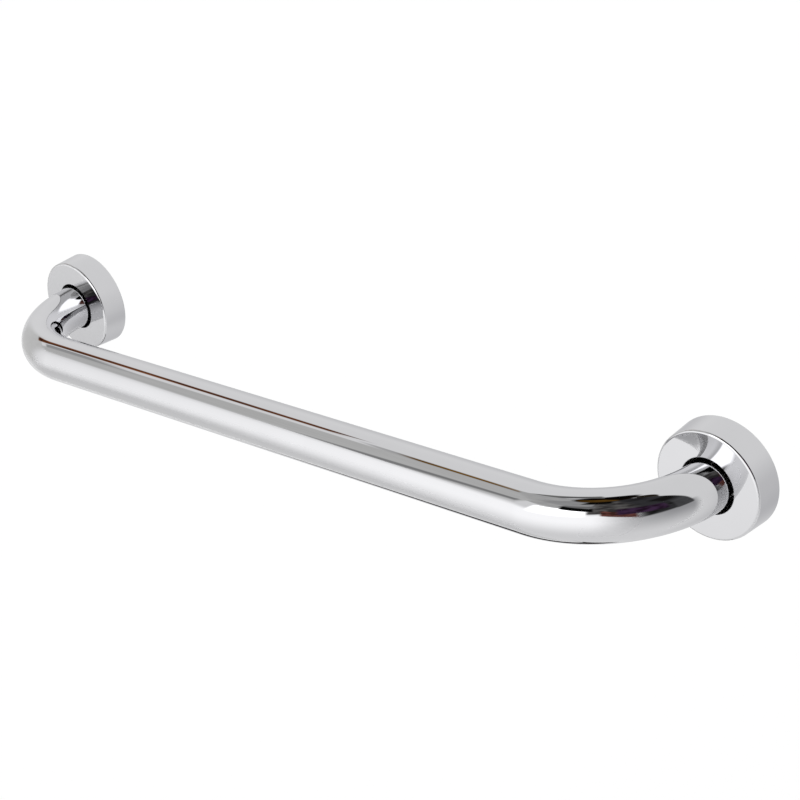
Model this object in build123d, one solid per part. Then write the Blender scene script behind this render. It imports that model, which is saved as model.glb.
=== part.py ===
from build123d import *
from math import atan, cos
import os

# A wall-mounted grab bar: one bent tube on two hidden screw flanges, each under a drawn cover.
# The wall is the plane y = 0 and the bar stands off it towards -Y, with +Z up. The origin is on the
# wall, midway between the two legs. All sizes are in millimetres.

# The bent tube
TUBE_DIAMETER = 25.0      # outside
TUBE_WALL = 1.2
LEG_SPACING = 450.0       # between the centre lines of the two legs
LEG_LENGTH = 12.0         # straight part of a leg, from the wall to the bend
BEND_RADIUS = 57.0        # at the centre line
BEND_FLATTENING = 0.07    # share of its diameter that the tube loses across the middle of a bend

# The drawn covers
COVER_DEPTH = 15.0
COVER_FACE_DIAMETER = 54.0
COVER_FLARE = 0.8         # how much further out the open rim stands than the face
COVER_SHEET = 1.0
COVER_PUNCH_RADIUS = 0.3  # inside the bend between face and skirt
COVER_HOLE_GAP = 1.4      # all round the tube
COVER_CUT_BREAK = 0.2     # taken off the cut edges of the rim and the hole, outside

# The flanges that are welded to the tube and screwed to the wall
FLANGE_THICKNESS = 3.0
FLANGE_BEVEL = 0.5
FLANGE_COVER_GAP = 0.25   # between the flange's edge and the cover's skirt
FLANGE_TUBE_GAP = 0.1     # between the flange's bore and the tube
WELD_LEG = 2.0            # of the fillet weld in front of the flange

# The screw holes
SCREW_COUNT = 3
SCREW_HOLE_DIAMETER = 5.5
SCREW_HEAD_DIAMETER = 9.5
SCREW_HEAD_ANGLE = 90.0   # of the countersink, from side to side

tube_radius = TUBE_DIAMETER / 2
reach = LEG_LENGTH + BEND_RADIUS                  # from the wall to the bar's centre line
skirt_angle = atan(COVER_FLARE / COVER_DEPTH)
face_radius = COVER_FACE_DIAMETER / 2
rim_radius = face_radius + COVER_FLARE
hole_radius = tube_radius + COVER_HOLE_GAP
bore_radius = tube_radius + FLANGE_TUBE_GAP
weld_radius = bore_radius + WELD_LEG


def skirt_inside(depth):
    """Radius of the inside of a cover's skirt, at a depth in front of the wall."""
    outside = rim_radius - COVER_FLARE * depth / COVER_DEPTH
    return outside - COVER_SHEET / cos(skirt_angle)


flange_radius = skirt_inside(FLANGE_THICKNESS) - FLANGE_COVER_GAP
screw_circle_radius = (weld_radius + flange_radius) / 2


def tube_section(path, along, radius, flattening):
    """The tube's round or flattened section, square to a path."""
    ahead = path % along
    across_bend = ahead.cross(Vector(0, 0, 1))
    plane = Plane(origin=path @ along, x_dir=across_bend, z_dir=ahead)
    return plane * Ellipse(radius * (1 - flattening), radius)


def leg_and_bend(radius):
    """The right leg and its bend as a solid rod, flattest in the middle of the bend."""
    bend_start = (LEG_SPACING / 2, -LEG_LENGTH)
    bend_end = (LEG_SPACING / 2 - BEND_RADIUS, -reach)
    bend_path = RadiusArc(bend_start, bend_end, BEND_RADIUS)
    sections = [
        tube_section(bend_path, 0, radius, 0),
        tube_section(bend_path, 0.5, radius, BEND_FLATTENING),
        tube_section(bend_path, 1, radius, 0),
    ]
    bend = sweep(sections=sections, path=bend_path, multisection=True)
    foot = Plane(origin=(LEG_SPACING / 2, 0, 0), z_dir=(0, -1, 0))
    return extrude(foot * Circle(radius), LEG_LENGTH) + bend


def bent_rod(radius):
    """The whole run of the bar as a solid rod: the grip, two bends and two legs."""
    grip_length = LEG_SPACING - 2 * BEND_RADIUS
    grip_start = Plane(origin=(-grip_length / 2, -reach, 0), z_dir=(1, 0, 0))
    grip = extrude(grip_start * Circle(radius), grip_length)
    right = leg_and_bend(radius)
    return grip + right + mirror(right, about=Plane.YZ)


def bar_tube():
    """The bar: one bent tube, open at both ends."""
    return bent_rod(tube_radius) - bent_rod(tube_radius - TUBE_WALL)


def rounded(outline, corner, radius):
    """An outline with one of its corners rounded."""
    return fillet(outline.vertices().sort_by_distance(corner)[0], radius)


def broken(outline, corner, length):
    """An outline with one of its corners taken off at a slant, as a cut edge is broken."""
    return chamfer(outline.vertices().sort_by_distance(corner)[0], length)


def wall_cover():
    """A drawn cover: a flat face with a hole for the leg, and a skirt that flares to the wall."""
    face_back = COVER_DEPTH - COVER_SHEET
    rim = (rim_radius, 0)
    face_edge = (face_radius, -COVER_DEPTH)
    hole_edge = (hole_radius, -COVER_DEPTH)
    inside_edge = (skirt_inside(face_back), -face_back)
    outline = make_face(
        Polyline(
            rim,
            face_edge,
            hole_edge,
            (hole_radius, -face_back),
            inside_edge,
            (skirt_inside(0), 0),
            close=True,
        )
    )
    outline = rounded(outline, face_edge, COVER_PUNCH_RADIUS + COVER_SHEET)
    outline = rounded(outline, inside_edge, COVER_PUNCH_RADIUS)
    outline = broken(outline, rim, COVER_CUT_BREAK)
    outline = broken(outline, hole_edge, COVER_CUT_BREAK)
    return revolve(outline, Axis.Y)


def flange_disc():
    """A flange before drilling: a bevelled disc with the weld that holds it to the leg."""
    front = -FLANGE_THICKNESS
    outline = make_face(
        Polyline(
            (bore_radius, 0),
            (flange_radius, 0),
            (flange_radius, front + FLANGE_BEVEL),
            (flange_radius - FLANGE_BEVEL, front),
            (weld_radius, front),
            (bore_radius, front - WELD_LEG),
            close=True,
        )
    )
    return revolve(outline, Axis.Y)


def screw_hole():
    """A countersunk hole along the -Z of its own frame, with its mouth at the frame's origin."""
    return CounterSinkHole(
        radius=SCREW_HOLE_DIAMETER / 2,
        counter_sink_radius=SCREW_HEAD_DIAMETER / 2,
        counter_sink_angle=SCREW_HEAD_ANGLE,
        depth=FLANGE_THICKNESS,
        mode=Mode.PRIVATE,
    )


def wall_flange():
    """A flange with its ring of countersunk holes, one of them at the top."""
    front = Plane(origin=(0, -FLANGE_THICKNESS, 0), x_dir=(0, 0, 1), z_dir=(0, -1, 0))
    holes = front * PolarLocations(screw_circle_radius, SCREW_COUNT) * screw_hole()
    return flange_disc() - holes


def write_parts():
    """Writes the tube, and a flange and a cover at each leg."""
    os.makedirs("parts", exist_ok=True)
    export_step(bar_tube(), "parts/bar_tube.step")
    for side, place in (("left", -LEG_SPACING / 2), ("right", LEG_SPACING / 2)):
        export_step(Pos(place, 0, 0) * wall_flange(), f"parts/{side}_wall_flange.step")
        export_step(Pos(place, 0, 0) * wall_cover(), f"parts/{side}_cover.step")


write_parts()
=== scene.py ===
"""Dresses and lights a chrome grab bar: one bent tube on two hidden flanges, under two drawn covers.

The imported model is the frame. The tube and the covers are made again here as fine skins with true
mirror normals, because polished chrome shows every facet. The flanges keep their solids and get a
finish. Everything is in metres, with the wall at y = 0, the room towards -Y and +Z up.
"""

import logging
from collections.abc import Sequence
from dataclasses import dataclass, replace
from enum import Enum, IntEnum
from math import atan, cos, pi, radians, sin, tan

import bpy
from mathutils import Matrix, Vector


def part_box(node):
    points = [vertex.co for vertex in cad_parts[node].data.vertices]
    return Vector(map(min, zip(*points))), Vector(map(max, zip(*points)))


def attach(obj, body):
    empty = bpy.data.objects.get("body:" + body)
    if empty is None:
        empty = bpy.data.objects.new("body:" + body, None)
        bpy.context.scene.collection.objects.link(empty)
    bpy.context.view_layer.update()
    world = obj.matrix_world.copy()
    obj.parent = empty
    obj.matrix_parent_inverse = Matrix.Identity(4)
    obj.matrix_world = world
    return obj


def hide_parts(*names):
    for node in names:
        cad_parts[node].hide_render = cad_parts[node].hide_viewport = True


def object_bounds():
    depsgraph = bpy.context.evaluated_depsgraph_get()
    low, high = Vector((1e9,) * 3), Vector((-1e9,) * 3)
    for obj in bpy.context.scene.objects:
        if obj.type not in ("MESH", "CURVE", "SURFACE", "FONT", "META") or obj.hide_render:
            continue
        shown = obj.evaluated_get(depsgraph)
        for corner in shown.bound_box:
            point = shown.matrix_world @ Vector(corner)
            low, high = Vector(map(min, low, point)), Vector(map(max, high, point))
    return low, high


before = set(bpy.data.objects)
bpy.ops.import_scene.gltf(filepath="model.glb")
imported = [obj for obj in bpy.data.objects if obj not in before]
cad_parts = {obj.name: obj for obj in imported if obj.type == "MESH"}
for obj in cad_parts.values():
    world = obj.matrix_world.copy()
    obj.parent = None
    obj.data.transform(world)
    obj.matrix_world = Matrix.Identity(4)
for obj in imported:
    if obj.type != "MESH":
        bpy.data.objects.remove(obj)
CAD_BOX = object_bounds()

LOG = logging.getLogger("grab_bar")
MM = 0.001


class Side(Enum):
    """The two ends of the bar, as they stand in the names of nodes and bodies."""

    LEFT = "left"
    RIGHT = "right"


class Face(IntEnum):
    """The sides of a sheet of metal, by the place of their finish in a piece's list."""

    OUTSIDE = 0
    INSIDE = 1


def linear(hex_colour: str) -> tuple[float, float, float, float]:
    """Turns an sRGB hex colour into linear RGBA.

    Args:
        hex_colour: a colour such as "#C4C5C5".

    Returns:
        Red, green, blue and an alpha of 1.
    """
    channels = [int(hex_colour[i:i + 2], 16) / 255 for i in (1, 3, 5)]
    lit = [c / 12.92 if c <= 0.04045 else ((c + 0.055) / 1.055) ** 2.4 for c in channels]
    return (*lit, 1.0)


def add_node(
    tree: bpy.types.NodeTree,
    kind: str,
    settings: dict[str, str] | None = None,
    values: dict[str | int, float | Sequence[float]] | None = None,
    links: dict[str | int, bpy.types.NodeSocket] | None = None,
) -> bpy.types.Node:
    """Adds one node with its settings, socket values and links.

    Args:
        tree: the node tree of a material or of the world.
        kind: the node's type, without its "ShaderNode" beginning.
        settings: properties of the node.
        values: constants for input sockets, by socket name or number.
        links: output sockets that feed input sockets, by socket name or number.

    Returns:
        The new node.
    """
    node = tree.nodes.new("ShaderNode" + kind)
    for name, value in (settings or {}).items():
        setattr(node, name, value)
    for socket, value in (values or {}).items():
        node.inputs[socket].default_value = value
    for socket, source in (links or {}).items():
        tree.links.new(source, node.inputs[socket])
    return node


def new_material(name: str) -> bpy.types.Material:
    """Makes an empty node material."""
    material = bpy.data.materials.new(name)
    material.use_nodes = True
    material.node_tree.nodes.clear()
    return material


# Finishes


@dataclass(frozen=True)
class ChromePlate:
    """Bright chrome plate over polished steel.

    The eye sees a cool neutral mirror that returns a little over half of the light, so white
    surroundings look pale grey in it. Up close the polish is not quite even: the mirror wavers
    slowly, and a faint haze lies over it in patches.

    Attributes:
        name: the finish's name.
        colour: what the plate gives back of white light, clear and in the hazier patches.
        roughness: of the clear mirror, and of the hazier patches.
        haze_mm: size of the hazy patches.
        haze_range: values of the noise between which the clear mirror turns hazy.
        wave_mm: length of the slow waver left by polishing.
        wave_height_mm: height of that waver.
        line_mm: spacing of polishing lines. Real ones are finer than a tenth of this and would not
            show, so they are drawn this coarse.
        line_length_mm: length of those lines.
        line_height_mm: depth of those lines.
    """

    name: str
    colour: tuple[str, str] = ("#CCCCCE", "#C7C7C9")
    roughness: tuple[float, float] = (0.012, 0.032)
    haze_mm: float = 22.0
    haze_range: tuple[float, float] = (0.35, 0.75)
    wave_mm: float = 16.0
    wave_height_mm: float = 0.004
    line_mm: float = 0.35
    line_length_mm: float = 21.0
    line_height_mm: float = 0.00004

    def material(self) -> bpy.types.Material:
        """Builds the finish.

        Returns:
            The material.
        """
        material = new_material(self.name)
        tree = material.node_tree
        place = add_node(tree, "TexCoord")
        haze = add_node(
            tree,
            "TexNoise",
            values={"Scale": 1 / (self.haze_mm * MM), "Detail": 6.0, "Roughness": 0.62},
            links={"Vector": place.outputs["Object"]},
        )
        tint = add_node(
            tree,
            "Mix",
            {"data_type": "RGBA"},
            {"A": linear(self.colour[0]), "B": linear(self.colour[1])},
            {"Factor": haze.outputs["Fac"]},
        )
        rough = add_node(
            tree,
            "MapRange",
            values={
                "From Min": self.haze_range[0],
                "From Max": self.haze_range[1],
                "To Min": self.roughness[0],
                "To Max": self.roughness[1],
            },
            links={"Value": haze.outputs["Fac"]},
        )
        wave = add_node(
            tree,
            "TexNoise",
            values={"Scale": 1 / (self.wave_mm * MM), "Detail": 1.0},
            links={"Vector": place.outputs["Object"]},
        )
        waver = add_node(
            tree,
            "Bump",
            values={"Strength": 1.0, "Distance": self.wave_height_mm * MM},
            links={"Height": wave.outputs["Fac"]},
        )
        along = add_node(
            tree,
            "Mapping",
            values={"Scale": (1 / (self.line_length_mm * MM), 1 / (self.line_mm * MM), 1.0)},
            links={"Vector": place.outputs["UV"]},
        )
        lines = add_node(
            tree,
            "TexNoise",
            {"noise_dimensions": "2D"},
            {"Scale": 1.0, "Detail": 2.0},
            {"Vector": along.outputs["Vector"]},
        )
        polish = add_node(
            tree,
            "Bump",
            values={"Strength": 1.0, "Distance": self.line_height_mm * MM},
            links={"Height": lines.outputs["Fac"], "Normal": waver.outputs["Normal"]},
        )
        metal = add_node(
            tree,
            "BsdfPrincipled",
            values={"Metallic": 1.0},
            links={
                "Base Color": tint.outputs["Result"],
                "Roughness": rough.outputs["Result"],
                "Normal": polish.outputs["Normal"],
            },
        )
        add_node(tree, "OutputMaterial", links={"Surface": metal.outputs["BSDF"]})
        return material


@dataclass(frozen=True)
class BareSteel:
    """Cold-rolled steel sheet and tube, stamped and welded but not polished.

    The eye sees a dull grey metal with a soft broad sheen, faint rolling lines and darker clouds of
    mill film.

    Attributes:
        name: the finish's name.
        colour: of the clean metal and of the darker film.
        roughness: of the clean metal and of the film.
        film_mm: size of the clouds of film.
        film_range: values of the noise between which the clean metal turns to film.
        line_mm: spacing of the rolling lines.
        line_length_mm: length of the rolling lines.
        line_height_mm: height of the rolling lines.
    """

    name: str
    colour: tuple[str, str] = ("#BDBCB9", "#8D8B87")
    roughness: tuple[float, float] = (0.30, 0.52)
    film_mm: float = 9.0
    film_range: tuple[float, float] = (0.3, 0.7)
    line_mm: float = 0.4
    line_length_mm: float = 16.0
    line_height_mm: float = 0.004

    def material(self) -> bpy.types.Material:
        """Builds the finish.

        Returns:
            The material.
        """
        material = new_material(self.name)
        tree = material.node_tree
        place = add_node(tree, "TexCoord")
        film = add_node(
            tree,
            "TexNoise",
            values={"Scale": 1 / (self.film_mm * MM), "Detail": 5.0, "Roughness": 0.6},
            links={"Vector": place.outputs["Object"]},
        )
        tint = add_node(
            tree,
            "Mix",
            {"data_type": "RGBA"},
            {"A": linear(self.colour[0]), "B": linear(self.colour[1])},
            {"Factor": film.outputs["Fac"]},
        )
        rough = add_node(
            tree,
            "MapRange",
            values={
                "From Min": self.film_range[0],
                "From Max": self.film_range[1],
                "To Min": self.roughness[0],
                "To Max": self.roughness[1],
            },
            links={"Value": film.outputs["Fac"]},
        )
        across = 1 / (self.line_mm * MM)
        along = add_node(
            tree,
            "Mapping",
            values={"Scale": (1 / (self.line_length_mm * MM), across, across)},
            links={"Vector": place.outputs["Object"]},
        )
        lines = add_node(
            tree,
            "TexNoise",
            values={"Scale": 1.0, "Detail": 3.0},
            links={"Vector": along.outputs["Vector"]},
        )
        rolled = add_node(
            tree,
            "Bump",
            values={"Strength": 0.6, "Distance": self.line_height_mm * MM},
            links={"Height": lines.outputs["Fac"]},
        )
        metal = add_node(
            tree,
            "BsdfPrincipled",
            values={"Metallic": 1.0},
            links={
                "Base Color": tint.outputs["Result"],
                "Roughness": rough.outputs["Result"],
                "Normal": rolled.outputs["Normal"],
            },
        )
        add_node(tree, "OutputMaterial", links={"Surface": metal.outputs["BSDF"]})
        return material


@dataclass(frozen=True)
class FloorPaint:
    """Matt white paint on the studio floor: pale, even and with no sheen.

    Attributes:
        name: the finish's name.
        colour: of the paint.
    """

    name: str = "matt_white_floor_paint"
    colour: str = "#FFFFFF"

    def material(self) -> bpy.types.Material:
        """Builds the finish.

        Returns:
            The material.
        """
        material = new_material(self.name)
        tree = material.node_tree
        paint = add_node(tree, "BsdfDiffuse", values={"Color": linear(self.colour)})
        add_node(tree, "OutputMaterial", links={"Surface": paint.outputs["BSDF"]})
        return material


@dataclass(frozen=True)
class ScreenCloth:
    """Cloth of a studio screen or soft light, or a sheet of painted shade or shadow, as it shows in
    polished metal.

    The eye sees only its brightness and a soft edge. A second colour lies in it in broad patches.

    Attributes:
        name: the finish's name.
        colours: of the cloth and of its patches.
        strength: brightness, where 1 is white.
        patch_m: size of the patches.
        patch_range: values of the noise between which the cloth turns to patch.
    """

    name: str
    colours: tuple[str, str]
    strength: float = 1.0
    patch_m: float = 0.6
    patch_range: tuple[float, float] = (0.4, 0.6)

    FEATHER = "feather"

    def material(self) -> bpy.types.Material:
        """Builds the finish, which fades out where the sheet's feather attribute falls to 0.

        Returns:
            The material.
        """
        material = new_material(self.name)
        tree = material.node_tree
        place = add_node(tree, "TexCoord")
        patches = add_node(
            tree,
            "TexNoise",
            values={"Scale": 1 / self.patch_m, "Detail": 2.0},
            links={"Vector": place.outputs["Object"]},
        )
        spread = add_node(
            tree,
            "MapRange",
            values={"From Min": self.patch_range[0], "From Max": self.patch_range[1]},
            links={"Value": patches.outputs["Fac"]},
        )
        tint = add_node(
            tree,
            "Mix",
            {"data_type": "RGBA"},
            {"A": linear(self.colours[0]), "B": linear(self.colours[1])},
            {"Factor": spread.outputs["Result"]},
        )
        glow = add_node(
            tree,
            "Emission",
            values={"Strength": self.strength},
            links={"Color": tint.outputs["Result"]},
        )
        clear = add_node(tree, "BsdfTransparent")
        feather = add_node(tree, "Attribute", {"attribute_name": self.FEATHER})
        blend = add_node(
            tree,
            "MixShader",
            links={
                0: feather.outputs["Fac"],
                1: clear.outputs["BSDF"],
                2: glow.outputs["Emission"],
            },
        )
        add_node(tree, "OutputMaterial", links={"Surface": blend.outputs["Shader"]})
        return material


# Skins made of rings


@dataclass(frozen=True)
class Ring:
    """One closed ring of points on a skin.

    Attributes:
        points: places round the ring.
        ends: normals, at this ring, of the band of skin that ends here.
        starts: normals, at this ring, of the band of skin that starts here.
        face: side of the metal that the band that starts here is on.
    """

    points: list[Vector]
    ends: list[Vector]
    starts: list[Vector]
    face: Face = Face.OUTSIDE


def skin(name: str, rings: Sequence[Ring], finishes: Sequence[bpy.types.Material]) -> bpy.types.Object:
    """Joins rings, and the last to the first, into one closed skin with exact normals.

    Args:
        name: the piece's name.
        rings: in order round the section, with as many points each.
        finishes: the materials of the outside and the inside.

    Returns:
        The piece.
    """
    count = len(rings[0].points)
    verts = [p for ring in rings for p in ring.points]
    faces: list[tuple[int, ...]] = []
    normals: list[Vector] = []
    places: list[tuple[float, float]] = []
    sides: list[int] = []
    run = 0.0
    for i, ring in enumerate(rings):
        j = (i + 1) % len(rings)
        after = rings[j]
        step = (after.points[0] - ring.points[0]).length
        girth = (ring.points[1] - ring.points[0]).length
        for k in range(count):
            m = (k + 1) % count
            faces.append((i * count + k, i * count + m, j * count + m, j * count + k))
            normals += [ring.starts[k], ring.starts[m], after.ends[m], after.ends[k]]
            low, high = k * girth, (k + 1) * girth
            places += [(run, low), (run, high), (run + step, high), (run + step, low)]
            sides.append(ring.face)
        run += step
    mesh = bpy.data.meshes.new(name)
    mesh.from_pydata(verts, [], faces)
    if mesh.polygons[0].normal.dot(normals[0]) < 0:
        raise ValueError(f"the rings of {name} run the wrong way round")
    layer = mesh.uv_layers.new(name="metres")
    for spot, place in zip(layer.uv, places):
        spot.vector = place
    for material in finishes:
        mesh.materials.append(material)
    mesh.polygons.foreach_set("material_index", sides)
    mesh.polygons.foreach_set("use_smooth", [True] * len(faces))
    mesh.normals_split_custom_set(normals)
    mesh.update()
    piece = bpy.data.objects.new(name, mesh)
    bpy.context.scene.collection.objects.link(piece)
    return piece


@dataclass(frozen=True)
class Corner:
    """A corner of a turned section, and the face of the metal that starts there.

    Attributes:
        radius: distance from the centre line.
        depth: distance in front of the wall.
        rounding: radius that the corner is rounded to.
        face: side of the metal.
    """

    radius: float
    depth: float
    rounding: float
    face: Face = Face.OUTSIDE


@dataclass(frozen=True)
class TurnedSection:
    """A closed section that is turned about a leg's centre line.

    Attributes:
        corners: in order, with the solid on the left as radius runs right and depth runs up.
        steps: points that each rounding is drawn with.
        around: points that the turn is drawn with.
    """

    corners: tuple[Corner, ...]
    steps: int = 8
    around: int = 288

    def rings(self, centre_x: float) -> list[Ring]:
        """Turns the section about a leg.

        Args:
            centre_x: place of the leg along X.

        Returns:
            The rings of the turned skin.
        """
        made: list[Ring] = []
        last = len(self.corners)
        for i, corner in enumerate(self.corners):
            before = self.corners[i - 1]
            after = self.corners[(i + 1) % last]
            made += self._rounded(before, corner, after, centre_x)
        return made

    def _rounded(self, before: Corner, corner: Corner, after: Corner, centre_x: float) -> list[Ring]:
        """Rounds one corner.

        Args:
            before: the corner before it.
            corner: the corner.
            after: the corner after it.
            centre_x: place of the leg along X.

        Returns:
            The rings of the rounding.
        """
        here = Vector((corner.radius, corner.depth))
        arriving = (here - Vector((before.radius, before.depth))).normalized()
        leaving = (Vector((after.radius, after.depth)) - here).normalized()
        turn = -arriving.angle_signed(leaving)
        outward = 1 if turn > 0 else -1
        start_normal = Vector((arriving.y, -arriving.x))
        start = here - arriving * corner.rounding * tan(abs(turn) / 2)
        centre = start - start_normal * outward * corner.rounding
        made = []
        for step in range(self.steps + 1):
            share = step / self.steps
            normal = Matrix.Rotation(turn * share, 2) @ start_normal
            spot = centre + normal * outward * corner.rounding
            made.append(self._ring(spot, normal, centre_x, corner.face))
        return made

    def _ring(self, spot: Vector, normal: Vector, centre_x: float, face: Face) -> Ring:
        """Turns one point of the section.

        Args:
            spot: radius and depth.
            normal: of the section there.
            centre_x: place of the leg along X.
            face: side of the metal.

        Returns:
            The ring.
        """
        points = []
        normals = []
        for k in range(self.around):
            angle = 2 * pi * k / self.around
            points.append(Vector((centre_x + spot.x * cos(angle), -spot.y, spot.x * sin(angle))))
            normals.append(Vector((normal.x * cos(angle), -normal.y, normal.x * sin(angle))))
        return Ring(points, normals, normals, face)


# The pieces of the bar


@dataclass(frozen=True)
class Station:
    """A place along the tube's centre line.

    Attributes:
        centre: the place.
        ahead: the way the tube runs there.
        bend: share of the way through a bend, which is 0 or 1 at its ends and on a straight run.
    """

    centre: Vector
    ahead: Vector
    bend: float = 0.0


@dataclass
class BentTube:
    """The bar itself: one polished tube, bent square at both ends and open at the wall.

    Attributes:
        radius: outside.
        leg_spacing: between the legs' centre lines.
        reach: from the wall to the grip's centre line.
        wall: thickness of the tube.
        bend_radius: at the centre line.
        flattening: share of its diameter that the tube loses across the middle of a bend.
        bend_steps: rings that each bend is drawn with.
        around: points that each ring is drawn with.
    """

    radius: float
    leg_spacing: float
    reach: float
    wall: float = 1.2 * MM
    bend_radius: float = 57.0 * MM
    flattening: float = 0.07
    bend_steps: int = 96
    around: int = 176

    NODE = "bar_tube"
    BODY = "bar"

    @classmethod
    def from_frame(cls) -> "BentTube":
        """Reads the tube's main sizes from its solid.

        Returns:
            The tube.
        """
        low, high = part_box(cls.NODE)
        radius = (high.z - low.z) / 2
        return cls(radius, leg_spacing=high.x - low.x - 2 * radius, reach=-low.y - radius)

    def stations(self) -> list[Station]:
        """Lists the places along the centre line, from the left leg to the right one.

        Returns:
            The stations: the left leg and bend, and the same mirrored.
        """
        bend_x = self.leg_spacing / 2 - self.bend_radius
        bend_y = self.bend_radius - self.reach
        left = [Station(Vector((-self.leg_spacing / 2, 0, 0)), Vector((0, -1, 0)))]
        for step in range(self.bend_steps + 1):
            share = step / self.bend_steps
            angle = share * pi / 2
            out = Vector((-cos(angle), -sin(angle), 0))
            centre = Vector((-bend_x, bend_y, 0)) + out * self.bend_radius
            left.append(Station(centre, Vector((sin(angle), -cos(angle), 0)), share))
        right = []
        for station in reversed(left):
            centre, ahead = station.centre, station.ahead
            mirrored = Vector((-centre.x, centre.y, 0))
            right.append(Station(mirrored, Vector((ahead.x, -ahead.y, 0)), 1 - station.bend))
        return left + right

    def ring(self, station: Station, radius: float, face: Face) -> Ring:
        """Draws the tube's section at a station.

        Args:
            station: the place.
            radius: of the round section.
            face: side of the tube's wall.

        Returns:
            The ring.
        """
        across = Vector((0, 0, 1)).cross(station.ahead)
        narrow = 1 - self.flattening * sin(pi * station.bend) ** 2
        bend_length = self.bend_radius * pi / 2
        slope = -self.flattening * pi * sin(2 * pi * station.bend) / bend_length
        points = []
        normals = []
        for k in range(self.around):
            angle = 2 * pi * k / self.around
            aside, above = cos(angle), sin(angle)
            spot = across * radius * narrow * aside + Vector((0, 0, radius * above))
            round_it = across * -narrow * above + Vector((0, 0, aside))
            stretch = 1 - radius * narrow * aside / self.bend_radius
            ahead = station.ahead * stretch + across * radius * slope * aside
            normal = round_it.cross(ahead).normalized()
            if normal.dot(spot) < 0:
                normal.negate()
            points.append(station.centre + spot)
            normals.append(-normal if face is Face.INSIDE else normal)
        return Ring(points, normals, normals, face)

    def build(self, chrome: bpy.types.Material, steel: bpy.types.Material) -> bpy.types.Object:
        """Makes the tube and puts it in its solid's place.

        Args:
            chrome: finish of the outside.
            steel: finish of the cut ends and the bore.

        Returns:
            The piece.
        """
        stations = self.stations()
        bore = self.radius - self.wall
        outer = [self.ring(station, self.radius, Face.OUTSIDE) for station in stations]
        inner = [self.ring(station, bore, Face.INSIDE) for station in reversed(stations)]
        to_wall = [Vector((0, 1, 0))] * self.around
        for rings in (outer, inner):
            rings[0] = replace(rings[0], ends=to_wall)
            rings[-1] = replace(rings[-1], starts=to_wall, face=Face.INSIDE)
        piece = skin("polished_tube", outer + inner, (chrome, steel))
        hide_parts(self.NODE)
        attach(piece, self.BODY)
        return piece


@dataclass
class WallCover:
    """A drawn cover: a flat face with a hole for the leg, and a skirt that flares to the wall.

    Attributes:
        side: which end of the bar it is on.
        centre_x: place of its leg along X.
        depth: from the wall to its face.
        rim_radius: at the wall.
        hole_radius: round the leg.
        flare: how much further out the rim stands than the face.
        sheet: thickness.
        edge_rounding: outside the bend between face and skirt.
        cut_rounding: of the rim and the hole, where the sheet was cut.
        inside_rounding: inside the bend between face and skirt.
    """

    side: Side
    centre_x: float
    depth: float
    rim_radius: float
    hole_radius: float
    flare: float = 0.8 * MM
    sheet: float = 1.0 * MM
    edge_rounding: float = 1.3 * MM
    cut_rounding: float = 0.42 * MM
    inside_rounding: float = 0.3 * MM

    # Between the leg and the edge of the hole, so that the cover slides freely
    HOLE_GAP = 1.4 * MM

    @classmethod
    def from_frame(cls, side: Side, tube: BentTube) -> "WallCover":
        """Reads a cover's main sizes from its solid and from the tube.

        Args:
            side: which end of the bar it is on.
            tube: the bar's tube.

        Returns:
            The cover.
        """
        low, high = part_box(f"{side.value}_cover")
        return cls(
            side,
            centre_x=(low.x + high.x) / 2,
            depth=high.y - low.y,
            rim_radius=(high.x - low.x) / 2,
            hole_radius=tube.radius + cls.HOLE_GAP,
        )

    def section(self) -> TurnedSection:
        """Draws the cover's section.

        Returns:
            The section, from the rim up the skirt to the hole and back inside.
        """
        slant = self.sheet / cos(atan(self.flare / self.depth))
        face_radius = self.rim_radius - self.flare
        back = self.depth - self.sheet
        inside = self.rim_radius - slant
        inside_face = inside - self.flare * back / self.depth
        return TurnedSection(
            (
                Corner(self.rim_radius, 0.0, self.cut_rounding),
                Corner(face_radius, self.depth, self.edge_rounding),
                Corner(self.hole_radius, self.depth, self.cut_rounding),
                Corner(self.hole_radius, back, self.cut_rounding, Face.INSIDE),
                Corner(inside_face, back, self.inside_rounding, Face.INSIDE),
                Corner(inside, 0.0, self.cut_rounding, Face.INSIDE),
            )
        )

    def build(self, chrome: bpy.types.Material, dull: bpy.types.Material) -> bpy.types.Object:
        """Makes the cover and puts it in its solid's place.

        Args:
            chrome: finish of the outside.
            dull: finish of the inside.

        Returns:
            The piece.
        """
        rings = self.section().rings(self.centre_x)
        piece = skin(f"{self.side.value}_drawn_cover", rings, (chrome, dull))
        node = f"{self.side.value}_cover"
        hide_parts(node)
        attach(piece, node)
        return piece


@dataclass
class WallFlange:
    """A stamped flange under a cover. Its solid stays, and gets a steel finish.

    Attributes:
        side: which end of the bar it is on.
    """

    side: Side

    def dress(self, steel: bpy.types.Material) -> bpy.types.Object:
        """Gives the solid its finish.

        Args:
            steel: the finish.

        Returns:
            The solid's object.
        """
        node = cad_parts[f"{self.side.value}_wall_flange"]
        for slot in node.material_slots:
            slot.material = steel
        return node


# The studio


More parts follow.
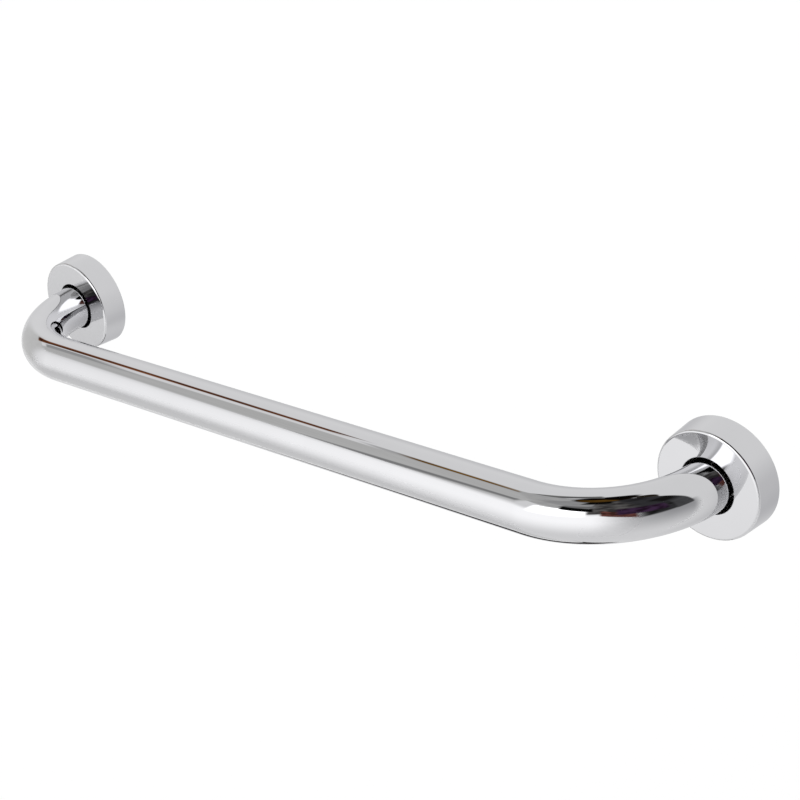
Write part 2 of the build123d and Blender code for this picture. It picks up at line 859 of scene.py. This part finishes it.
@dataclass(frozen=True)
class ScreenSheet:
    """A curved studio screen that only polished metal sees.

    Attributes:
        cloth: its finish.
        east: first and last bearing in degrees, from +X towards +Y.
        rise: lowest and highest elevation in degrees.
        feathers: widths in degrees of its soft edges: first and last bearing, bottom and top.
        distance: from the middle of the bar, except where it lies over the floor. Nearer sheets
            hide those behind them.
        lean: degrees that its bottom and top edges rise for each degree of bearing, about its middle.
    """

    cloth: ScreenCloth
    east: tuple[float, float]
    rise: tuple[float, float]
    feathers: tuple[float, float, float, float]
    distance: float
    lean: float = 0.0

    # Degrees that each face of a sheet spans
    STEP_DEG = 0.75
    # Distance at which a sheet would lie on the floor itself, where nearer ones lie a little above it
    FARTHEST = 6.6

    def _fade(self, east: float, rise: float) -> float:
        """Works out how solid the sheet is at a point.

        Args:
            east: bearing of the point.
            rise: elevation of the point.

        Returns:
            0 at the edge to 1 inside.
        """
        insets = (east - self.east[0], self.east[1] - east, rise - self.rise[0], self.rise[1] - rise)
        solid = 1.0
        for inset, feather in zip(insets, self.feathers):
            share = min(max(inset / feather, 0.0), 1.0) if feather else 1.0
            solid *= share * share * (3 - 2 * share)
        return solid

    def build(self, centre: Vector, floor_drop: float) -> bpy.types.Object:
        """Hangs the sheet.

        Args:
            centre: the middle of the bar.
            floor_drop: from there down to the floor, which the sheet stays over.

        Returns:
            The sheet.
        """
        drop = floor_drop * self.distance / self.FARTHEST
        columns = round((self.east[1] - self.east[0]) / self.STEP_DEG)
        rows = round((self.rise[1] - self.rise[0]) / self.STEP_DEG)
        middle = sum(self.east) / 2
        verts = []
        fades = []
        for row in range(rows + 1):
            rise = self.rise[0] + (self.rise[1] - self.rise[0]) * row / rows
            for column in range(columns + 1):
                east = self.east[0] + (self.east[1] - self.east[0]) * column / columns
                leaning = radians(rise + self.lean * (east - middle))
                level, up = cos(leaning), sin(leaning)
                way = Vector((level * cos(radians(east)), level * sin(radians(east)), up))
                distance = min(self.distance, drop / -up) if up < 0 else self.distance
                verts.append(centre + way * distance)
                fades.append(self._fade(east, rise))
        wide = columns + 1
        faces = [
            (r * wide + c, r * wide + c + 1, (r + 1) * wide + c + 1, (r + 1) * wide + c)
            for r in range(rows)
            for c in range(columns)
        ]
        mesh = bpy.data.meshes.new(self.cloth.name)
        mesh.from_pydata(verts, [], faces)
        mesh.attributes.new(self.cloth.FEATHER, "FLOAT", "POINT").data.foreach_set("value", fades)
        mesh.materials.append(self.cloth.material())
        sheet = bpy.data.objects.new(self.cloth.name, mesh)
        bpy.context.scene.collection.objects.link(sheet)
        sheet.visible_camera = False
        sheet.visible_diffuse = False
        sheet.visible_shadow = False
        return sheet


@dataclass(frozen=True)
class PhotoCamera:
    """The camera, at the photograph's viewing angle.

    Attributes:
        place: where it stands.
        azimuth: degrees to the right of the room's middle.
        elevation: degrees that it looks down.
        roll: degrees that its right side hangs low.
        lens_mm: focal length.
        sensor_mm: width of the picture behind the lens.
    """

    place: tuple[float, float, float] = (0.65281, -0.60390, 0.40494)
    azimuth: float = 46.14
    elevation: float = 25.515
    roll: float = 8.192
    lens_mm: float = 83.99
    sensor_mm: float = 36.0

    def build(self) -> bpy.types.Object:
        """Sets the camera up.

        Returns:
            The camera.
        """
        turn, dip, roll = radians(self.azimuth), radians(self.elevation), radians(self.roll)
        ahead = Vector((-sin(turn) * cos(dip), cos(turn) * cos(dip), -sin(dip)))
        level = Vector((cos(turn), sin(turn), 0))
        right = level * cos(roll) + ahead.cross(level) * sin(roll)
        up = right.cross(ahead)
        data = bpy.data.cameras.new("photo_camera")
        data.lens = self.lens_mm
        data.sensor_width = self.sensor_mm
        camera = bpy.data.objects.new("photo_camera", data)
        turned = Matrix((right, up, -ahead)).transposed().to_4x4()
        camera.matrix_world = Matrix.Translation(self.place) @ turned
        bpy.context.scene.collection.objects.link(camera)
        bpy.context.scene.camera = camera
        return camera


@dataclass
class Studio:
    """A white studio: a pale floor, soft light all round, and screens that the chrome mirrors.

    Attributes:
        floor_drop: from the middle of the bar down to the floor, as such bars are mounted.
        floor_size: length of the floor's sides.
        sky_strength: of the soft light all round.
        white_strength: of the background that the camera and polished metal see.
        key_strength: of the soft key light.
        key_spread_deg: width of the key light as the object sees it.
        key_way: bearing and elevation of the key light, in degrees.
    """

    floor_drop: float = 0.9
    floor_size: float = 60.0
    sky_strength: float = 0.82
    white_strength: float = 1.0
    key_strength: float = 0.76
    key_spread_deg: float = 40.0
    key_way: tuple[float, float] = (-100.0, 50.0)

    SHEETS = (
        # Far round the bar: white in front, with painted shade at the sides, behind and over the
        # floor, and a strip of painted shadow on the floor behind it.
        ScreenSheet(
            ScreenCloth("front_white_cloth", ("#FFFFFF", "#FFFFFF"), 1.6),
            east=(-170.0, -30.0), rise=(-58.0, 33.0), distance=6.5,
            feathers=(54.0, 34.0, 62.0, 13.0),
        ),
        # Painted shade: a faintly grey sheet over the floor to the left and front-left dims the white
        # cloth's glow there, as the chrome mirrors it.
        ScreenSheet(
            ScreenCloth("painted_shade_left_floor", ("#F0F0F0", "#ECECEC")),
            east=(-186.0, -130.0), rise=(-86.0, -8.0), distance=6.48,
            feathers=(14.0, 24.0, 8.0, 20.0),
        ),
        ScreenSheet(
            ScreenCloth("left_pale_screen", ("#E5E5E3", "#E1E1DF")),
            east=(158.0, 206.0), rise=(-24.0, 30.0), distance=6.45,
            feathers=(12.0, 16.0, 14.0, 0.0),
        ),
        # Painted shade: a pale grey sheet behind the bar and down over the floor there stands in for
        # shade, as the chrome mirrors it.
        ScreenSheet(
            ScreenCloth("painted_shade_back_screen", ("#D6D6D8", "#D6D6D8")),
            east=(10.0, 184.0), rise=(-82.0, 28.0), distance=6.4,
            feathers=(50.0, 44.0, 50.0, 42.0),
        ),
        # Painted shadow: a dark strip over the floor behind the bar stands in for the bar's own shadow
        # there, which the chrome mirrors as a dark line along its lower edge.
        ScreenSheet(
            ScreenCloth("painted_shadow_floor_strip", ("#3A2C2C", "#1E1616")),
            east=(84.0, 169.0), rise=(-84.0, -57.2), distance=6.3, lean=0.4,
            feathers=(10.0, 3.0, 4.0, 5.0),
        ),
        # Painted shade: a grey sheet over the floor at the right end, fading towards the front, stands
        # in for shade beneath the dark screens there.
        ScreenSheet(
            ScreenCloth("painted_shade_side_floor", ("#B4B4B6", "#B4B4B6")),
            east=(-66.0, 14.0), rise=(-56.0, 22.0), distance=6.2,
            feathers=(60.0, 8.0, 60.0, 8.0),
        ),
        # Grey screens over the front, and the frame that one of them hangs in.
        ScreenSheet(
            ScreenCloth("upper_grey_screen", ("#C7C7C5", "#BEBEBE")),
            east=(-186.0, -58.0), rise=(49.0, 78.0), distance=6.1,
            feathers=(4.0, 6.0, 1.0, 0.0),
        ),
        ScreenSheet(
            ScreenCloth("upper_dim_screen", ("#AEAEAE", "#A6A6A6")),
            east=(-150.0, -58.0), rise=(58.0, 80.0), distance=6.0,
            feathers=(20.0, 6.0, 8.0, 0.0),
        ),
        ScreenSheet(
            ScreenCloth("side_grey_screen", ("#D1D1CF", "#D7D7D5")),
            east=(-174.0, -130.0), rise=(27.0, 60.0), distance=5.8,
            feathers=(5.0, 7.0, 4.0, 8.0),
        ),
        ScreenSheet(
            ScreenCloth("screen_stile", ("#9A9A9A", "#8E8E8E")),
            east=(-143.0, -135.0), rise=(27.5, 48.0), distance=5.7,
            feathers=(3.0, 3.0, 3.0, 6.0),
        ),
        ScreenSheet(
            ScreenCloth("screen_frame", ("#B0B0B0", "#A4A4A4")),
            east=(179.0, 194.0), rise=(33.0, 40.5), distance=5.65,
            feathers=(3.0, 5.0, 2.0, 1.5),
        ),
        # Dark screens at the right end, with two coloured cloths in front of them.
        ScreenSheet(
            ScreenCloth("dark_side_screen", ("#6A6866", "#3C3A3A"), patch_m=0.7),
            east=(-69.0, -20.0), rise=(27.0, 90.0), distance=5.6,
            feathers=(4.0, 8.0, 5.0, 0.0),
        ),
        ScreenSheet(
            ScreenCloth("dark_end_screen", ("#3C3C3E", "#1C1A1A"), patch_m=1.5),
            east=(-38.0, 8.5), rise=(1.0, 90.0), distance=5.55, lean=0.2,
            feathers=(14.0, 2.5, 6.0, 0.0),
        ),
        ScreenSheet(
            ScreenCloth("dark_end_corner", ("#3A362E", "#282218")),
            east=(6.0, 36.0), rise=(67.8, 82.4), distance=5.54, lean=0.5,
            feathers=(1.0, 2.0, 2.0, 0.0),
        ),
        ScreenSheet(
            ScreenCloth("dim_end_strip", ("#545456", "#4C4C4E")),
            east=(-7.0, 8.5), rise=(4.0, 42.0), distance=5.53, lean=0.2,
            feathers=(3.0, 2.5, 4.0, 12.0),
        ),
        ScreenSheet(
            ScreenCloth("rust_cloth", ("#7A4C44", "#4A2E28"), patch_m=0.5),
            east=(-58.0, -30.0), rise=(11.0, 33.0), distance=5.52, lean=-0.72,
            feathers=(3.0, 4.0, 4.0, 1.0),
        ),
        ScreenSheet(
            ScreenCloth("plum_cloth", ("#4A3350", "#2A1A2A"), patch_m=0.8),
            east=(-47.0, -8.0), rise=(15.5, 42.0), distance=5.5, lean=-0.2,
            feathers=(4.0, 4.0, 4.0, 5.0),
        ),
        # The dark top, with its edges and the strips that hang under it.
        ScreenSheet(
            ScreenCloth("dark_top_screen", ("#1A120C", "#060505"), patch_m=1.5),
            east=(-180.0, 180.0), rise=(76.5, 90.0), distance=5.4,
            feathers=(0.0, 0.0, 3.0, 0.0),
        ),
        ScreenSheet(
            ScreenCloth("dim_top_edge", ("#82827F", "#6C6C6E")),
            east=(128.0, 178.0), rise=(64.5, 79.0), distance=5.38, lean=-0.25,
            feathers=(5.0, 5.0, 2.0, 2.0),
        ),
        ScreenSheet(
            ScreenCloth("black_top_edge", ("#101010", "#080808")),
            east=(-90.0, -38.0), rise=(68.0, 82.0), distance=5.36,
            feathers=(4.0, 8.0, 3.0, 0.0),
        ),
        ScreenSheet(
            ScreenCloth("ochre_top_cloth", ("#6A4C1E", "#4A3414")),
            east=(-156.0, -16.0), rise=(78.5, 90.0), distance=5.3,
            feathers=(10.0, 5.0, 2.0, 0.0),
        ),
        ScreenSheet(
            ScreenCloth("grey_strip", ("#808080", "#747474")),
            east=(-102.0, -60.0), rise=(52.0, 64.0), distance=5.25,
            feathers=(6.0, 4.0, 2.0, 5.0),
        ),
        ScreenSheet(
            ScreenCloth("brown_strip", ("#94582F", "#45271A"), patch_m=0.5),
            east=(165.0, 178.5), rise=(26.0, 48.6), distance=5.1,
            feathers=(3.0, 3.0, 1.5, 0.8),
        ),
        ScreenSheet(
            ScreenCloth("ochre_strip", ("#8A6420", "#6A4A18"), patch_m=0.5),
            east=(176.5, 189.0), rise=(50.6, 57.0), distance=5.1,
            feathers=(3.0, 3.0, 0.8, 3.0),
        ),
        # Close to the bar: a soft light, and the flag that trims it.
        ScreenSheet(
            ScreenCloth("soft_light_cloth", ("#FFFFFF", "#FFFFFF"), 3.0),
            east=(-111.0, -58.0), rise=(17.0, 48.0), distance=1.2,
            feathers=(7.0, 5.0, 9.0, 3.0),
        ),
        ScreenSheet(
            ScreenCloth("black_flag", ("#050505", "#0A0A0A")),
            east=(-84.0, -53.0), rise=(39.5, 53.0), distance=1.15, lean=-0.3,
            feathers=(2.0, 2.0, 2.0, 2.0),
        ),
    )

    def build(self, centre: Vector) -> None:
        """Sets the studio up round the bar.

        Args:
            centre: the middle of the bar.
        """
        bpy.context.scene.view_settings.view_transform = "Standard"
        self._floor(centre)
        self._sky()
        self._key()
        for sheet in self.SHEETS:
            sheet.build(centre, self.floor_drop)
            LOG.info("hung %s", sheet.cloth.name)
        PhotoCamera().build()

    def _floor(self, centre: Vector) -> None:
        """Lays the floor.

        Args:
            centre: the middle of the bar.
        """
        half = self.floor_size / 2
        mesh = bpy.data.meshes.new("studio_floor")
        spots = [(-half, -half, 0), (half, -half, 0), (half, half, 0), (-half, half, 0)]
        mesh.from_pydata(spots, [], [(0, 1, 2, 3)])
        mesh.materials.append(FloorPaint().material())
        floor = bpy.data.objects.new("studio_floor", mesh)
        floor.location.z = centre.z - self.floor_drop
        bpy.context.scene.collection.objects.link(floor)

    def _sky(self) -> None:
        """Lights the world evenly, and shows it white to the camera, metal and glass."""
        world = bpy.data.worlds.new("white_studio")
        world.use_nodes = True
        tree = world.node_tree
        tree.nodes.clear()
        path = add_node(tree, "LightPath")
        seen = path.outputs["Is Camera Ray"]
        for ray in ("Is Glossy Ray", "Is Transmission Ray"):
            either = add_node(
                tree,
                "Math",
                {"operation": "MAXIMUM"},
                links={0: seen, 1: path.outputs[ray]},
            )
            seen = either.outputs["Value"]
        level = add_node(
            tree,
            "MapRange",
            values={"To Min": self.sky_strength, "To Max": self.white_strength},
            links={"Value": seen},
        )
        sky = add_node(
            tree,
            "Background",
            values={"Color": linear("#FFFFFF")},
            links={"Strength": level.outputs["Result"]},
        )
        add_node(tree, "OutputWorld", links={"Surface": sky.outputs["Background"]})
        bpy.context.scene.world = world

    def _key(self) -> None:
        """Adds the soft key light, which the floor sees and the chrome doesn't."""
        data = bpy.data.lights.new("soft_key", "SUN")
        data.energy = self.key_strength
        data.angle = radians(self.key_spread_deg)
        lamp = bpy.data.objects.new("soft_key", data)
        east, rise = (radians(d) for d in self.key_way)
        way = Vector((cos(rise) * cos(east), cos(rise) * sin(east), sin(rise)))
        lamp.rotation_euler = way.to_track_quat("Z", "Y").to_euler()
        lamp.visible_glossy = False
        bpy.context.scene.collection.objects.link(lamp)


def main() -> None:
    """Builds the bar piece by piece, then the studio."""
    logging.basicConfig(level=logging.INFO, format="%(message)s")
    chrome = ChromePlate("polished_chrome_plate").material()
    steel = BareSteel("cold_rolled_steel").material()
    # Inside a cover the plate is thin and unpolished, and gives the eye a flat darker grey.
    dull = BareSteel("unpolished_plate", ("#9C9C9B", "#7A7A79"), (0.40, 0.60), film_mm=14.0).material()
    tube = BentTube.from_frame()
    LOG.info("made %s", tube.build(chrome, steel).name)
    for side in Side:
        cover = WallCover.from_frame(side, tube)
        LOG.info("made %s", cover.build(chrome, dull).name)
        LOG.info("dressed %s", WallFlange(side).dress(steel).name)
    centre = (CAD_BOX[0] + CAD_BOX[1]) / 2
    Studio().build(centre)


if __name__ == "__main__":
    main()
